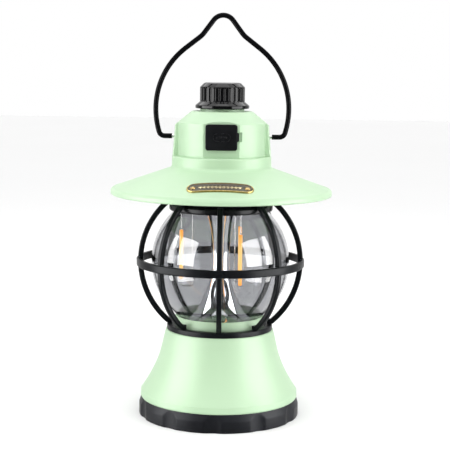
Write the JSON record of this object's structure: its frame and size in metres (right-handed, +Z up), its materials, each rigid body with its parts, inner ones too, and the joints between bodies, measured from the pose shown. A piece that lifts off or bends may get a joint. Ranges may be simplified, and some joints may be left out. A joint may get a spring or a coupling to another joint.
{
  "type": "camping lantern",
  "caption": "Retro camping lantern with a flared base, clear globe in a wire cage, wide brim, dimmer knob, sealed charging port and a wire bail with a crook.",
  "frame": {"origin": "middle of the foot's underside, on the lantern's axis", "axes": "+Z up along the lantern's axis; -Y is the front, with the port cover and the nameplate; the bail turns about X"},
  "size_m": [0.1398, 0.1398, 0.2553],
  "materials": {
    "mint_shell": "satin",
    "black_cover": "satin",
    "black_cage": "satin",
    "black_wire": "satin",
    "black_knob": "satin",
    "black_cap": "satin",
    "foot_rubber": "matte",
    "cover_rubber": "satin",
    "seal_rubber": "satin",
    "clear_glass": "gloss",
    "bright_reflector": "polished",
    "carrier": "satin",
    "filament": "satin",
    "bright_wire": "gloss",
    "nameplate_brass": "satin",
    "rivet_brass": "satin",
    "steel": "satin",
    "cell_wrap": "satin",
    "circuit_board": "satin",
    "cradle_plastic": "matte",
    "lead_red": "satin",
    "lead_black": "satin",
    "socket_steel": "satin",
    "dimmer_case": "satin"
  },
  "bodies": {
    "root": {"foot_ring": "foot_rubber", "bottom_cover": "black_cover", "bottom_cover_screws": "steel", "base_shell": "mint_shell", "globe_collar": "mint_shell", "battery_cell_front": "cell_wrap", "battery_cell_rear": "cell_wrap", "battery_cradle": "cradle_plastic", "battery_board": "circuit_board", "battery_lead_positive": "lead_red", "battery_lead_negative": "lead_black", "cage_lower_ring": "black_cage", "cage_upper_ring": "black_cage", "cage_equator_ring": "black_cage", "cage_screws": "steel", "glass_globe": "clear_glass", "reflector": "bright_reflector", "lower_gasket": "seal_rubber", "upper_gasket": "seal_rubber", "filament_carrier": "carrier", "globe_cap": "black_cap", "hood_screws": "steel", "brim": "mint_shell", "neck_housing": "mint_shell", "nameplate": "nameplate_brass", "nameplate_rivets": "rivet_brass", "control_board": "circuit_board", "usb_a_socket": "socket_steel", "usb_c_socket": "socket_steel", "dimmer_body": "dimmer_case", "dimmer_nut": "steel", "port_cover_strap": "cover_rubber", "bail_pin_left": "steel", "bail_pin_right": "steel", "cage_rib_1": "black_cage", "cage_rib_2": "black_cage", "cage_rib_3": "black_cage", "cage_rib_4": "black_cage", "cage_rib_5": "black_cage", "cage_rib_6": "black_cage", "cage_rib_7": "black_cage", "cage_rib_8": "black_cage", "filament_1": "filament", "filament_2": "filament", "filament_3": "filament", "filament_leads_1": "bright_wire", "filament_leads_2": "bright_wire", "filament_leads_3": "bright_wire"},
    "bail": {"bail": "black_wire"},
    "knob": {"knob": "black_knob", "dimmer_shaft": "steel"},
    "port_cover": {"port_cover": "cover_rubber"}
  },
  "joints": [
    {"name": "bail_swing", "type": "hinge", "parent": "root", "child": "bail", "pos_m": [0, 0, 0.1782], "axis": [1, 0, 0], "range_deg": [-112, 112]},
    {"name": "knob_turn", "type": "hinge", "parent": "root", "child": "knob", "pos_m": [0, 0, 0.2], "axis": [0, 0, 1], "range_deg": [0, 280]},
    {"name": "port_cover_open", "type": "hinge", "parent": "root", "child": "port_cover", "pos_m": [-0.00893, -0.02672, 0.1791], "axis": [0, 0, -1], "range_deg": [0, 110]}
  ]
}
